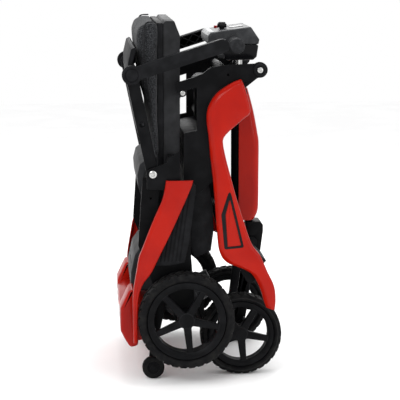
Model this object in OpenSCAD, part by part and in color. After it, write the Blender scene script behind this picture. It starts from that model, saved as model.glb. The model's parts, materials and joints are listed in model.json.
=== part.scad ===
// Folding four-wheel mobility scooter, drawn folded and standing on its front wheels and
// anti-tip casters. X points to the front, Y to the rider's left, Z up; millimetres.
// The origin is on the floor, under the middle of the folded scooter.

/* [Wheels] */
// Diameter of a rear wheel
rear_wheel_d = 211; // [200:1:212]
// Width of a rear tyre
rear_wheel_w = 50; // [40:1:50]
// Diameter of a front wheel
front_wheel_d = 182; // [172:1:183]
// Width of a front tyre
front_wheel_w = 42; // [36:1:42]
// Diameter of an anti-tip caster
caster_d = 49; // [44:1:50]
// Width of an anti-tip caster
caster_w = 22; // [16:1:22]
// Spokes of a wheel
spokes = 5; // [5:1:7]
// Width of a spoke
spoke_w = 13; // [9:1:15]

/* [Seat] */
// Width of the seat cushion
cushion_w = 386; // [340:2:390]
// Width of the seat pan between the frame plates
pan_w = 344; // [320:2:346]
// Width of the backrest pad
back_w = 376; // [330:2:384]

/* [Frame] */
// Outer face of each rear frame plate, from the middle
plate_y = 186; // [185:0.5:187]
// Thickness of a rear frame plate
plate_t = 8; // [5:0.5:8]
// Radius of the cross tubes
tube_r = 11; // [8:0.5:12]
// Thickness of the sheet of the covers
wall = 3; // [2:0.5:4]

/* [Tiller] */
// Outer radius of the steering column
column_r = 14; // [13:0.5:15]
// Half width of the control console
console_y = 95; // [80:1:98]
// Radius of a hand grip
grip_r = 16.5; // [14:0.5:17]
// Distance of a grip's end from the middle
grip_end = 185; // [170:1:187]

/* [Fits] */
// Radial gap of a turning fit
fit = 0.05; // [0.02:0.01:0.09]
// Gap between two pieces that pass each other
gap = 0.4; // [0.3:0.1:0.5]

/* [Hidden] */
$fn = 64;

// Places in the side view, as [x, z]
rear_axle_c = [-33, 141];
front_axle_c = [93, front_wheel_d / 2];
caster_c = [-104, caster_d / 2];
main_hinge = [129, 682];
seat_hinge = [-38, 633];
back_hinge = [-105, 463];
arm_hinge = [-149, 676];
arm_end = [44, 737];
tiller_hinge = [128, 275];
head_c = [79, 588];
beam_c = [112, 222];
column_x = 98;

// Places across the scooter, measured from the middle
rear_wheel_y = 195;
front_wheel_y = 125;
kingpin_y = 103;
kingpin_tilt = 46;
post_in = 206;
post_out = 224;
bracket_in = 226;
bracket_out = 230;
cover_in = 190;
cover_out = 210;
fender_in = 233;
fender_out = 241;
panel_in = 214;
panel_out = 223;
rail_in = 160;
rail_out = 176;

bolt_r = 5;
axle_r = 8;
stub_r = 7;
hinge_r = 6;

red = "#cf2a1c";
black = "#17181a";
grey = "#3a3c3f";
steel = "#b9bcbf";

// ---- helpers ----

// An outline in the side view, made solid between two distances along Y
module slab(y0, y1) translate([0, y1, 0]) rotate([90, 0, 0]) linear_extrude(y1 - y0) children();

// A round bar along Y, centred on c = [x, z]
module rod(c, r, y0, y1) slab(y0, y1) translate(c) circle(r = r);

function unit(v) = v / norm(v);
function turn(v) = [-v[1], v[0]];

// Offset at a corner of a route, stretched so that the width stays even round it
function mitre(p, i) =
    let (n = len(p) - 1,
        a = turn(unit(p[max(i, 1)] - p[max(i, 1) - 1])),
        b = turn(unit(p[min(i + 1, n)] - p[min(i + 1, n) - 1])))
    (a + b) / (1 + a * b);

function cap(c, d, r) = [for (t = [75:-15:-75]) c + r * (cos(t) * d + sin(t) * turn(d))];

// Outline of a flat bar of width w along the route p, with round ends if asked
function stroke(p, w, ends = true) =
    let (n = len(p) - 1)
    concat([for (i = [0:n]) p[i] + mitre(p, i) * w / 2],
        ends ? cap(p[n], unit(p[n] - p[n - 1]), w / 2) : [],
        [for (i = [n:-1:0]) p[i] - mitre(p, i) * w / 2],
        ends ? cap(p[0], unit(p[0] - p[1]), w / 2) : []);

// A bar with round ends in the side view
module link2d(a, b, w) polygon(stroke([a, b], w));

// A bar with square ends in the side view
module bar2d(a, b, w) {
    d = b - a;
    translate(a) rotate(atan2(d[1], d[0])) translate([0, -w / 2]) square([norm(d), w]);
}

module right_side() mirror([0, 1, 0]) children();

module both_sides() {
    children();
    mirror([0, 1, 0]) children();
}

// A hollow cover: an outline between y0 and y1 with its back open towards the middle
module shell(y0, y1, t) {
    difference() {
        slab(y0, y1) children();
        slab(y0 - 1, y1 - t) offset(delta = -t) children();
    }
}

// ---- rear frame ----

rear_plate_outline = [
    [-52, 632], [-52, 655], [-14, 667], [6, 675], [22, 688], [60, 693], [129, 696], [143, 682],
    [136, 668], [96, 656], [60, 636], [34, 600], [34, 446], [4, 420], [-26, 400], [-22, 300],
    [-12, 170], [-12, 122], [-54, 122], [-62, 160], [-92, 180], [-118, 250], [-136, 300],
    [-126, 446], [-90, 446], [-88, 436], [-100, 312], [-94, 280], [-74, 268], [-58, 400],
    [-36, 434], [-36, 546], [-7, 552], [-7, 646]];

// One plate of the rear frame: top arm, spine, rear leg and axle carrier
module rear_plate() {
    color(black) difference() {
        slab(plate_y - plate_t, plate_y) {
            polygon(rear_plate_outline);
            translate(main_hinge) circle(r = 17);
        }
        rod(main_hinge, hinge_r, plate_y - plate_t - 1, plate_y + 1);
        rod(seat_hinge, bolt_r, plate_y - plate_t - 1, plate_y + 1);
        rod(rear_axle_c, axle_r, plate_y - plate_t - 1, plate_y + 1);
        for (p = rear_tube_places) rod(p, 3, plate_y - plate_t - 1, plate_y + 1);
    }
}
module rear_plate_right() right_side() rear_plate();
module rear_plate_left() rear_plate();

rear_tube_places = [[60, 672], [16, 566], [-40, 330], [-108, 404]];

// Tubes that join the two plates
module rear_cross_tubes() {
    y = plate_y - plate_t;
    color(black) for (p = rear_tube_places) rod(p, tube_r, -y, y);
}

// Housing of the controller, between the plates
module controller_box() {
    y = plate_y - plate_t;
    color(black) difference() {
        slab(-y, y) polygon([[-33, 446], [-33, 538], [9, 545], [14, 540],
            [14, 446], [22, 420], [28, 380], [30, 330], [24, 285], [-12, 268], [-20, 300], [-24, 400]]);
        for (z = [458:9:530]) translate([-34, -90, z]) cube([4, 180, 4]);
    }
}

// Gearbox on the rear axle with its motor
module drive_unit() {
    color(grey) difference() {
        union() {
            rod(rear_axle_c, 38, -44, 44);
            rod(rear_axle_c, 16, -120, 120);
            translate([rear_axle_c[0], 0, rear_axle_c[1]]) rotate([0, 62, 0]) cylinder(r = 30, h = 82);
        }
        rod(rear_axle_c, axle_r, -121, 121);
    }
}

module rear_axle() color(steel) rod(rear_axle_c, axle_r, -231, 231);

rear_cover_outline = [
    [-176, 120], [-176, 150], [-160, 162], [-128, 162], [-92, 150], [-92, 104], [-110, 82],
    [-156, 74], [-167, 95]];
rear_cover_y = 156;

rear_corner_y = 192;
rear_corner_outline = [
    [-176, 110], [-176, 160], [-157, 200], [-147, 203], [-142, 170], [-137, 110], [-137, 76],
    [-155, 72], [-166, 90]];

// Bumper cover across the back, with a raised corner inside each fender
module rear_cover() {
    color(red) difference() {
        union() {
            slab(-rear_cover_y, rear_cover_y) polygon(rear_cover_outline);
            both_sides() slab(114, rear_corner_y) polygon(rear_corner_outline);
        }
        slab(-rear_cover_y + wall, rear_cover_y - wall) {
            offset(delta = -wall) polygon(rear_cover_outline);
            translate([-120, 98]) square([40, 48]);
        }
    }
}

fender_outline = [
    [-19, 450], [-24, 433], [-43, 389], [-67, 336], [-112, 245], [-127, 226], [-136, 199],
    [-140, 146], [-141, 95], [-149, 94], [-150, 197], [-144, 235], [-136, 285], [-129, 301],
    [-112, 345], [-84, 411], [-77, 450]];

// Red side strip that runs from the seat down behind a rear wheel
module rear_fender() {
    color(red) {
        slab(fender_in, fender_out) polygon(fender_outline);
        slab(panel_out, fender_in) polygon([[-66, 352], [-72, 352], [-96, 300], [-90, 300]]);
    }
}
module rear_fender_right() right_side() rear_fender();
module rear_fender_left() rear_fender();

panel_outline = [
    [-60, 445], [-20, 445], [-13, 436], [-12, 424], [-14, 412], [-21, 354], [-28, 308],
    [-37, 268], [-70, 262], [-100, 262], [-119, 276], [-110, 316], [-84, 376]];

// Ribbed black panel inside a fender, on three spacers from the rear frame
module side_panel() {
    groove_dir = atan2(445 - 268, -20 + 44);
    color(black) {
        difference() {
            slab(panel_in, panel_out) polygon(panel_outline);
            for (i = [1:8]) slab(panel_out - 1.6, panel_out + 1)
                translate([-20 - i * 8.5, 420]) rotate(groove_dir - 180) square([150, 2.6]);
        }
        for (p = [[-34, 320], [-104, 292], [-30, 412]]) rod(p, 6, plate_y, panel_in);
    }
}
module side_panel_right() right_side() side_panel();
module side_panel_left() side_panel();

// Brackets that carry the anti-tip casters, joined by the tray of the battery
module anti_tip_brackets() {
    foot = [-78, 190];
    color(black) {
        both_sides() {
            slab(rear_cover_y, rear_cover_y + 8) polygon(stroke([caster_c, [-97, 108], foot], 20));
            rod(foot, 8, rear_cover_y + 8, plate_y - plate_t);
            rod(caster_c, bolt_r, rear_cover_y + 8, 190.5);
        }
        slab(-rear_cover_y, rear_cover_y) translate([-100, 174]) square([43, 6]);
    }
    color(steel) both_sides() rod(caster_c, 7, 190.5, 193);
}

// Bolts of the main folding hinge
module main_hinge_bolts() {
    color(steel) both_sides() {
        rod(main_hinge, hinge_r, rail_in - 2, plate_y + 4);
        rod(main_hinge, 9, rail_in - 4, rail_in - 2);
    }
    color(black) both_sides() difference() {
        rod(main_hinge, 14, plate_y, plate_y + 8);
        rod(main_hinge, hinge_r, plate_y - 1, plate_y + 9);
    }
}

module seat_hinge_pins() {
    color(steel) both_sides() {
        rod(seat_hinge, bolt_r, pan_w / 2 - 12, plate_y);
        rod(seat_hinge, 8, plate_y, plate_y + 4);
    }
}

// Gear motor that folds the scooter, with its screw tube along the spine
module fold_actuator() {
    color(grey) difference() {
        union() {
            translate([16, 0, 556]) cylinder(r = 17, h = 94);
            rod([16, 636], 22, 0, 60);
        }
        rod([16, 566], tube_r, -30, 30);
    }
}

module charge_port() {
    color(black) difference() {
        translate([14, -128, 470]) rotate([0, 90, 0]) cylinder(r = 13, h = 8);
        translate([16, -128, 470]) rotate([0, 90, 0]) cylinder(r = 8, h = 7);
    }
}

// ---- wheels ----

first_spoke = -84;

// Rim with its hub and spokes, its axle along Y at c
module rim(c, y0, w, rim_r, open_r, hub_r, bore_r, bore_end) {
    difference() {
        union() {
            difference() {
                rod(c, rim_r, y0 + 5, y0 + w - 5);
                rod(c, open_r, y0, y0 + w);
            }
            rod(c, hub_r, y0 + 3, y0 + w - 8);
            for (i = [0:spokes - 1]) slab(y0 + w - 20, y0 + w - 9) translate(c)
                rotate(first_spoke + i * 360 / spokes) translate([hub_r / 2, -spoke_w / 2])
                    square([open_r - hub_r / 2 + 1, spoke_w]);
        }
        rod(c, bore_r, y0, bore_end);
    }
}

// Solid tyre with rounded shoulders and a groove round its tread
module tyre(c, y0, w, r, rim_r) {
    e = 5;
    color(black) translate([c[0], y0 + w / 2, c[1]]) rotate([90, 0, 0]) rotate_extrude($fn = 96)
        polygon([[rim_r, -w / 2 + 5], [rim_r + 4, -w / 2], [r - e - 4, -w / 2], [r - 2, -w / 2 + e],
            [r, -w / 2 + e + 5], [r, -3], [r - 2, -2], [r - 2, 2], [r, 3], [r, w / 2 - e - 5],
            [r - 2, w / 2 - e], [r - e - 4, w / 2], [rim_r + 4, w / 2], [rim_r, w / 2 - 5]]);
}

rear_rim_r = 87.5;
front_rim_r = 75.5;

module rear_rim() color(black)
    rim(rear_axle_c, rear_wheel_y, rear_wheel_w, rear_rim_r, 71, 20, axle_r + fit, 231.5);
module rear_tyre() tyre(rear_axle_c, rear_wheel_y, rear_wheel_w, rear_wheel_d / 2, rear_rim_r);
module front_rim() color(black)
    rim(front_axle_c, front_wheel_y, front_wheel_w, front_rim_r, 61, 18, stub_r + fit, 154.5);
module front_tyre() tyre(front_axle_c, front_wheel_y, front_wheel_w, front_wheel_d / 2, front_rim_r);

module rear_rim_right() right_side() rear_rim();
module rear_tyre_right() right_side() rear_tyre();
module rear_rim_left() rear_rim();
module rear_tyre_left() rear_tyre();
module front_rim_right() right_side() front_rim();
module front_tyre_right() right_side() front_tyre();
module front_rim_left() front_rim();
module front_tyre_left() front_tyre();

module caster() {
    y0 = 168;
    w = caster_w;
    r = caster_d / 2;
    color(black) translate([caster_c[0], y0, caster_c[1]]) rotate([-90, 0, 0]) rotate_extrude()
        polygon([[bolt_r + fit, 0], [12, 0], [14, 3], [18, 3], [20, 1], [r - 3, 1], [r, 4],
            [r, w - 4], [r - 3, w - 1], [20, w - 1], [18, w - 3], [14, w - 3], [12, w],
            [bolt_r + fit, w]]);
}
module caster_right() right_side() caster();
module caster_left() caster();

// ---- battery ----

// Battery pack that pulls out backwards, with a rounded grey end
module battery() {
    color(grey) difference() {
        slab(-105, 105) polygon([[-58, 180.3], [-58, 284], [-128, 284], [-142, 258], [-150, 220],
            [-151, 196], [-146, 180.3]]);
        translate([-156, -48, 214]) cube([22, 96, 22]);
    }
}

// ---- front frame ----

// Inner rail of a front arm, from the main hinge down to the wheel beam
module front_rail() {
    color(black) difference() {
        union() {
            slab(rail_in, rail_out) polygon(stroke([main_hinge, [86, 648], [58, 590], [34, 530],
                [38, 480], [50, 400], [64, 330], [74, 290], beam_c], 24));
            slab(rail_out, cover_in - 3) translate([52, 572]) circle(r = 8);
            slab(rail_out, cover_out - wall - 1) {
                translate([51, 400]) circle(r = 8);
                translate([72, 302]) circle(r = 8);
            }
            slab(cover_in - 3, cover_in) difference() {
                translate(head_c) circle(r = 66);
                polygon([[44, 500], [49, 542], [62, 557], [77, 570], [90, 583], [90, 700],
                    [170, 700], [170, 500]]);
            }
        }
        rod(main_hinge, hinge_r + fit, rail_in - 1, rail_out + 1);
    }
}
module front_rail_right() right_side() front_rail();
module front_rail_left() front_rail();

front_tube_places = [[64, 604], [44, 440]];

module front_cross_tubes() {
    color(black) for (p = front_tube_places) rod(p, tube_r, -rail_in, rail_in);
}

// Tilt of the kingpins in the side view while the scooter is folded
module on_kingpin() translate([front_axle_c[0], kingpin_y, front_axle_c[1]])
    rotate([0, kingpin_tilt, 0]) children();

// Beam with the kingpin housings and the lugs of the tiller
module front_axle_beam() {
    color(black) {
        rod(beam_c, tube_r, -rail_in, rail_in);
        both_sides() {
            slab(74, 86) polygon(stroke([beam_c, [101, 134], front_axle_c], 26));
            difference() {
                union() {
                    on_kingpin() translate([0, 0, -20]) cylinder(r = 11, h = 40);
                    on_kingpin() translate([-9, -18, -16]) cube([18, 18, 32]);
                }
                on_kingpin() translate([0, 0, -30]) cylinder(r = hinge_r + fit, h = 60);
            }
            slab(31, 38) link2d(beam_c, tiller_hinge, 26);
            rod(tiller_hinge, hinge_r, 24, 42);
        }
    }
}

front_cover_outline = [
    [87, 663], [57, 650], [37, 637], [23, 619], [15, 598], [13, 574], [17, 541], [21, 496],
    [26, 452], [30, 408], [34, 352], [39, 297], [43, 281], [54, 266], [69, 257], [93, 248],
    [115, 235], [128, 210], [137, 186], [143, 160], [163, 153], [165, 175], [163, 204],
    [145, 241], [132, 275], [115, 297], [104, 321], [95, 352], [84, 385], [71, 430], [65, 452],
    [54, 496], [48, 528], [51, 540], [64, 554], [80, 567], [107, 593], [102, 623]];
badge_outline = [[62.5, 428], [44, 370], [51, 293], [94, 297]];

// Red cover of a front arm, open on its inner side
module front_cover() {
    color(red) difference() {
        shell(cover_in, cover_out, wall + 1) polygon(front_cover_outline);
        slab(cover_out - 2, cover_out + 1) polygon(badge_outline);
    }
}
module front_cover_right() right_side() front_cover();
module front_cover_left() front_cover();

// Black frames set into the front covers
module badge_frames() {
    color(black) both_sides() difference() {
        slab(cover_out - 2, cover_out) polygon(badge_outline);
        slab(cover_out - 3, cover_out + 1) polygon([[62.5, 406], [53, 370], [58, 298.5], [88, 301]]);
    }
}

deck_back = [50, 348];
deck_front = [146, 254];

// Ribbed foot platforms on both sides of the tiller, between the rails
module footplates() {
    deck = deck_front - deck_back;
    color(black) both_sides() difference() {
        slab(58, rail_in) bar2d(deck_back, deck_front, 8);
        for (i = [1:9]) slab(66, rail_in - 8) translate(deck_back)
            rotate(atan2(deck[1], deck[0])) translate([i * 13, 2.5]) square([5, 3]);
    }
}

// ---- steering ----

// Steering knuckle: a fork round the kingpin housing, with the stub axle of the wheel
module knuckle() {
    color(steel) {
        on_kingpin() {
            translate([0, 0, -27]) cylinder(r = hinge_r, h = 54);
            for (z = [-27, 20 + gap]) translate([0, 0, z]) {
                cylinder(r = 11, h = 7 - gap);
                translate([-8, 0, 0]) cube([16, 18, 7 - gap]);
            }
            translate([-8, 12, -27]) cube([16, 7, 54]);
        }
        rod(front_axle_c, stub_r, kingpin_y + 16, 154);
    }
}
module knuckle_right() right_side() knuckle();
module knuckle_left() knuckle();

// ---- seat ----

// Seat pan: a tray, open towards the seat base, with its hinge lugs
module seat_pan() {
    y = pan_w / 2;
    color(grey) difference() {
        union() {
            difference() {
                slab(-y, y) polygon([[-79, 462], [-79, 781], [-74, 787], [-55, 787], [-43, 756],
                    [-43, 493], [-52, 462]]);
                slab(-y + 4, y - 4) polygon([[-80, 468], [-80, 780], [-60, 780], [-49, 752],
                    [-49, 497], [-57, 468]]);
            }
            both_sides() slab(y - 12, y) link2d([-58, 633], seat_hinge, 20);
        }
        both_sides() rod(seat_hinge, bolt_r + fit, y - 13, y + 1);
        for (s = [-1, 1]) for (z = [560, 640])
            translate([-60, s * 60, z]) rotate([0, 90, 0]) cylinder(r = 3.3, h = 20);
    }
}

module seat_base() color(black) slab(-pan_w / 2, pan_w / 2)
    polygon([[-79, 466], [-79, 783], [-93, 783], [-93, 466]]);

cushion_outline = [
    [-93.3, 789], [-117, 789], [-134, 779], [-136, 759], [-133, 726], [-128, 703], [-124, 647],
    [-107, 594], [-104, 520], [-100, 484], [-93.3, 482]];

module seat_cushion() color("#303236") slab(-cushion_w / 2, cushion_w / 2) polygon(cushion_outline);

bracket_outline = [
    [-118, 471], [-107, 476], [-75, 487], [-73, 497], [-54, 509], [-47, 515], [-47, 427],
    [-118, 431]];

// Plates that carry the backrest, each joined to the seat pan by a block
module seat_brackets() {
    color(black) both_sides() {
        difference() {
            slab(bracket_in, bracket_out) polygon(bracket_outline);
            rod(back_hinge, bolt_r, bracket_in - 1, bracket_out + 1);
        }
        slab(pan_w / 2, bracket_in) polygon([[-72, 466], [-55, 466], [-55, 500], [-72, 500]]);
    }
}

// Rounded grey cover across the back of the seat
module seat_rear_cover() {
    color(grey) slab(-150, 150) polygon([[-93, 466], [-93, 480], [-116, 485], [-130, 474],
        [-136, 450], [-134, 424], [-126, 400], [-121, 392], [-123, 440], [-114, 466]]);
}

module backrest_bolts() {
    color(steel) both_sides() {
        rod(back_hinge, bolt_r, post_in - 3, bracket_out);
        rod(back_hinge, 9, bracket_out, bracket_out + 4);
    }
}

// ---- backrest and armrests ----

// Place of the accessory hole in each post
accessory_c = [-127, 569.5];

module backrest_posts() {
    color(black) both_sides() difference() {
        union() {
            slab(post_in, post_out) link2d(back_hinge, arm_hinge, 26);
            rod(arm_hinge, 8, post_out, 238);
        }
        rod(back_hinge, bolt_r + fit, post_in - 1, post_out + 1);
        rod(accessory_c, 5.25, post_in - 1, post_out + 1);
    }
}

// Curved shell that joins the posts
module backrest_shell() {
    color(grey) slab(-post_in, post_in) polygon([[-134, 540], [-152, 640], [-157, 676], [-156, 700],
        [-149, 729], [-142, 733], [-138, 730], [-146, 700], [-150, 676], [-147, 640], [-127, 542]]);
}

module backrest_pad() {
    color("#303236") slab(-back_w / 2, back_w / 2) polygon([[-126.7, 543], [-146.7, 640],
        [-149.7, 676], [-146, 698], [-141, 712], [-139, 704], [-138, 672], [-134, 640], [-117, 560]]);
}

// Armrest: an outer bar with its hub, and a ribbed channel on its inner side
module armrest() {
    d = arm_end - arm_hinge;
    a = atan2(d[1], d[0]);
    reach = norm(d);
    pitch = 27;
    lip = 12.5;
    tip = [for (t = [-75:15:75]) [reach + lip * cos(t), lip * sin(t)]];
    color(black) difference() {
        union() {
            slab(post_out + 1, 240) {
                link2d(arm_hinge, arm_end, 29);
                translate(arm_hinge) circle(r = 21);
            }
            slab(post_in + 1, post_out + 1) translate(arm_hinge) rotate(a) {
                polygon(stroke(concat([[36, -lip], [reach, -lip]], tip, [[reach, lip], [36, lip]]),
                    3, false));
                for (i = [0:5]) for (s = [-1, 1]) translate([36 + pitch * (i + 0.5), 0])
                    rotate(s * 40) translate([-18, -1.2]) square([36, 2.4]);
            }
        }
        rod(arm_hinge, 8 + fit, post_out, 238 + gap);
    }
}
module armrest_right() right_side() armrest();
module armrest_left() armrest();

// ---- tiller ----

// Folding foot of the tiller
module tiller_base() {
    color(black) difference() {
        slab(-30, 30) polygon([[84, 262], [106, 262], [112, 246], [149, 246], [156, 300], [156, 314],
            [150, 322], [118, 322], [118, 299 - gap], [84, 299 - gap]]);
        rod(tiller_hinge, hinge_r + fit, -31, -20);
        rod(tiller_hinge, hinge_r + fit, 20, 31);
        translate([column_x, 0, 270]) cylinder(r = 8 + fit, h = 40);
    }
}

// Outer tube of the steering column, with its pivot pin
module column_tube() {
    color(black) difference() {
        union() {
            translate([column_x, 0, 299]) cylinder(r = column_r, h = 351);
            translate([column_x, 0, 271]) cylinder(r = 8, h = 30);
            translate([column_x, 0, 630]) cylinder(r = column_r + 5, h = 26);
        }
        translate([column_x, 0, 330]) cylinder(r = column_r - 3, h = 340);
    }
}

// Red front cover of the steering column
module column_cover() {
    color(red) difference() {
        slab(-32, 32) polygon([[99, 326], [134, 326], [139, 332], [146, 347], [146, 523],
            [134, 573], [124, 612], [119, 629], [99, 629]]);
        slab(-29, 29) polygon([[90, 331], [132, 331], [141, 349], [141, 522], [120, 610],
            [116, 624], [90, 624]]);
        translate([column_x, 0, 290]) cylinder(r = column_r + 0.01, h = 360);
    }
    color(black) difference() {
        for (z = [360, 590]) translate([column_x, -29, z]) cube([20, 58, 6]);
        translate([column_x, 0, 290]) cylinder(r = column_r + 0.01, h = 360);
    }
}

// Stem that slides in the column, with the handlebar across it
module stem() {
    color(steel) {
        translate([column_x, 0, 345]) cylinder(r = column_r - 3 - fit, h = 360);
        difference() {
            rod([80, 733], 10, -grip_end + 4, grip_end - 4);
            rod([80, 733], 10.01, -console_y, console_y);
        }
    }
}

console_outline = [
    [30, 731], [136, 731], [132, 704], [124, 697], [62, 697], [44, 712]];
lid_outline = [
    [24, 731.2], [25, 750], [31, 757], [64, 763], [119, 770], [138, 742], [136, 731.2]];

lever_c = [50, console_y + 9];

// Lower half of the console, with the pins of the speed levers
module console() {
    color(black) {
        difference() {
            slab(-console_y, console_y) polygon(console_outline);
            slab(-console_y + wall, console_y - wall)
                polygon([[41, 725], [41, 732], [130, 732], [126, 708], [68, 704], [50, 717]]);
            translate([column_x, 0, 690]) cylinder(r = column_r - 3 - fit, h = 20);
        }
        both_sides() {
            translate([lever_c[0] - 6, console_y, 713 + gap]) cube([12, 16, 6]);
            translate([lever_c[0], lever_c[1], 704]) cylinder(r = 3, h = 12);
        }
    }
}

dial_c = [60, -30];
key_c = [64, 20];
horn_c = [56, 60];

// Upper half of the console, with holes for its controls
module console_lid() {
    color(grey) difference() {
        slab(-console_y, console_y) polygon(lid_outline);
        slab(-console_y + wall, console_y - wall) polygon([[34, 730], [33, 750], [38, 754], [117, 763], [131, 742], [130, 730]]);
        translate([key_c[0], key_c[1], 740]) cylinder(r = 6 + fit, h = 60);
        translate([horn_c[0], horn_c[1], 740]) cylinder(r = 7 + gap, h = 60);
        translate([dial_c[0], dial_c[1], 740]) cylinder(r = 5 + fit, h = 60);
    }
}

module grips() {
    color(black) both_sides() difference() {
        rod([80, 733], grip_r, console_y + 6, grip_end);
        rod([80, 733], 10, console_y, grip_end - 4);
        for (i = [0:8]) translate([80, console_y + 14 + i * 8, 733]) rotate([-90, 0, 0])
            rotate_extrude() translate([grip_r - 1, 0]) square([3, 2.4]);
    }
}

module speed_dial() {
    color(black) {
        translate([dial_c[0], dial_c[1], 750]) cylinder(r = 5, h = 18);
        translate([dial_c[0], dial_c[1], 766]) difference() {
            cylinder(r = 11, h = 12);
            for (i = [0:11]) rotate(i * 30) translate([12, 0, -1]) cylinder(r = 2, h = 14);
        }
    }
}

// Ignition key with its barrel
module key() {
    color(black) {
        translate([key_c[0], key_c[1], 752]) cylinder(r = 6, h = 14);
        translate([key_c[0] - 9, key_c[1] - 2.5, 766]) cube([18, 5, 10]);
    }
}

module horn_button() {
    color("#8a1712") translate([horn_c[0], horn_c[1], 757]) cylinder(r = 7, h = 9);
}

// Speed lever behind a grip, turning on a post at the side of the console
module lever() {
    color(grey) translate([lever_c[0], lever_c[1], 705]) difference() {
        union() {
            cylinder(r = 7, h = 8);
            translate([-6, 0, 0]) cube([12, 38, 8]);
            translate([0, 38, 0]) cylinder(r = 6, h = 8);
        }
        translate([0, 0, -1]) cylinder(r = 3 + fit, h = 10);
    }
}
module lever_right() right_side() lever();
module lever_left() lever();

rear_plate_right();
rear_plate_left();
rear_cross_tubes();
controller_box();
drive_unit();
rear_axle();
rear_cover();
rear_fender_right();
rear_fender_left();
side_panel_right();
side_panel_left();
anti_tip_brackets();
main_hinge_bolts();
seat_hinge_pins();
fold_actuator();
charge_port();
rear_rim_right();
rear_tyre_right();
rear_rim_left();
rear_tyre_left();
caster_right();
caster_left();
battery();
front_rail_right();
front_rail_left();
front_cross_tubes();
front_axle_beam();
front_cover_right();
front_cover_left();
badge_frames();
footplates();
knuckle_right();
knuckle_left();
front_rim_right();
front_tyre_right();
front_rim_left();
front_tyre_left();
seat_pan();
seat_base();
seat_cushion();
seat_brackets();
seat_rear_cover();
backrest_bolts();
backrest_posts();
backrest_shell();
backrest_pad();
armrest_right();
armrest_left();
tiller_base();
column_tube();
column_cover();
stem();
console();
console_lid();
grips();
speed_dial();
key();
horn_button();
lever_right();
lever_left();
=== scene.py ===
"""Looks of the folded mobility scooter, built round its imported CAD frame.

Sizes are in metres. MM turns millimetres into metres. Side-view outlines are lists of (x, z).
"""
import json
import math

import bmesh
import bpy
import numpy as np
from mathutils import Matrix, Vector

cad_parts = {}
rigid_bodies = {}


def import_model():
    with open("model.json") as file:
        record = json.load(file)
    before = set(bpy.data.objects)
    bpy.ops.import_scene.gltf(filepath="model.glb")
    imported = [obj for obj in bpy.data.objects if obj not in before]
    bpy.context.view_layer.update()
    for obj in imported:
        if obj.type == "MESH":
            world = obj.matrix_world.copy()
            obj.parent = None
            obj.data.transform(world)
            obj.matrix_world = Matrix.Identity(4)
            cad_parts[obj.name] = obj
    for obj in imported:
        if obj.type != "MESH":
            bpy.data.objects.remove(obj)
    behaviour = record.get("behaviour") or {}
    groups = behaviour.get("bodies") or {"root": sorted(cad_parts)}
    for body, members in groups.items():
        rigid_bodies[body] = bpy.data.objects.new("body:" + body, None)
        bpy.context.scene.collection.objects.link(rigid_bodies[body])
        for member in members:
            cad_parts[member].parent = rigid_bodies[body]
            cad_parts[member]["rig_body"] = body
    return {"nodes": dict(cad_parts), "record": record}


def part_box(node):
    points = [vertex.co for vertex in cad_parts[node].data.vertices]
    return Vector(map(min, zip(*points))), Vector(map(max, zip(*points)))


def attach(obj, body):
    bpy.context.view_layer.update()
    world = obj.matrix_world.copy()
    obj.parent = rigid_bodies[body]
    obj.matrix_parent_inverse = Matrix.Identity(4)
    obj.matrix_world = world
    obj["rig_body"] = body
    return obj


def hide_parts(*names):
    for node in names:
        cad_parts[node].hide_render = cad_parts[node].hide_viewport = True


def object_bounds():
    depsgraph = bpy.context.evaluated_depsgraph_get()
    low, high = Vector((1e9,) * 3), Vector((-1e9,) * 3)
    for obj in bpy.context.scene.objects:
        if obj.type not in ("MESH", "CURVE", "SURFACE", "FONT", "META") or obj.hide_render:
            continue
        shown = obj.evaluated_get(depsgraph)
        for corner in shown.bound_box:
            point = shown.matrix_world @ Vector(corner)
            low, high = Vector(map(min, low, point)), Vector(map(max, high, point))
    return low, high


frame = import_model()
cad_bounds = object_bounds()
nodes = frame["nodes"]
MM = 0.001
SIDES = (("right", -1), ("left", 1))

# Side-view places (x, z) and distances from the middle, in millimetres
CASTER = (-104, 24.5)
BACK_BOLT = (-105, 463)
SEAT_PIVOT = (-38, 633)
ARM_PIVOT = (-149, 676)
GRIP = (80, 733)
PLATE_FACE = 186
ARM_FACE = 240


# ---- camera, floor and light ----

def aim(obj, target):
    direction = Vector(target) - obj.location
    obj.rotation_euler = direction.to_track_quat("-Z", "Y").to_euler()


def camera():
    azimuth, elevation, distance = math.radians(-4.19), math.radians(9.22), 3.3265
    target = Vector((-0.005, cad_bounds[0][1], 0.409))
    back = Vector((math.sin(azimuth) * math.cos(elevation),
                   -math.cos(azimuth) * math.cos(elevation), math.sin(elevation)))
    data = bpy.data.cameras.new("camera")
    data.sensor_width = 36.0
    data.lens = 139.8
    data.clip_end = 50.0
    cam = bpy.data.objects.new("camera", data)
    bpy.context.scene.collection.objects.link(cam)
    cam.location = target + back * distance
    aim(cam, target)
    bpy.context.scene.camera = cam


def area_light(name, place, target, size, power):
    data = bpy.data.lights.new(name, "AREA")
    data.shape = "RECTANGLE"
    data.size, data.size_y = size
    data.energy = power
    light = bpy.data.objects.new(name, data)
    bpy.context.scene.collection.objects.link(light)
    light.location = place
    aim(light, target)


def studio():
    bpy.context.scene.view_settings.view_transform = "Standard"
    world = bpy.data.worlds.new("studio")
    bpy.context.scene.world = world
    world.use_nodes = True
    background = world.node_tree.nodes["Background"]
    background.inputs["Color"].default_value = (1.0, 1.0, 1.0, 1.0)
    background.inputs["Strength"].default_value = 1.0
    middle = (0.0, 0.0, 0.42)
    area_light("key", (-1.5, -2.2, 2.2), middle, (1.2, 0.9), 30)
    area_light("front", (1.9, -2.1, 1.0), middle, (0.8, 1.4), 9)
    area_light("top", (0.2, 0.1, 2.4), middle, (1.2, 1.0), 22)
    area_light("back", (0.4, 2.4, 1.6), middle, (2.0, 1.2), 16)


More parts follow.
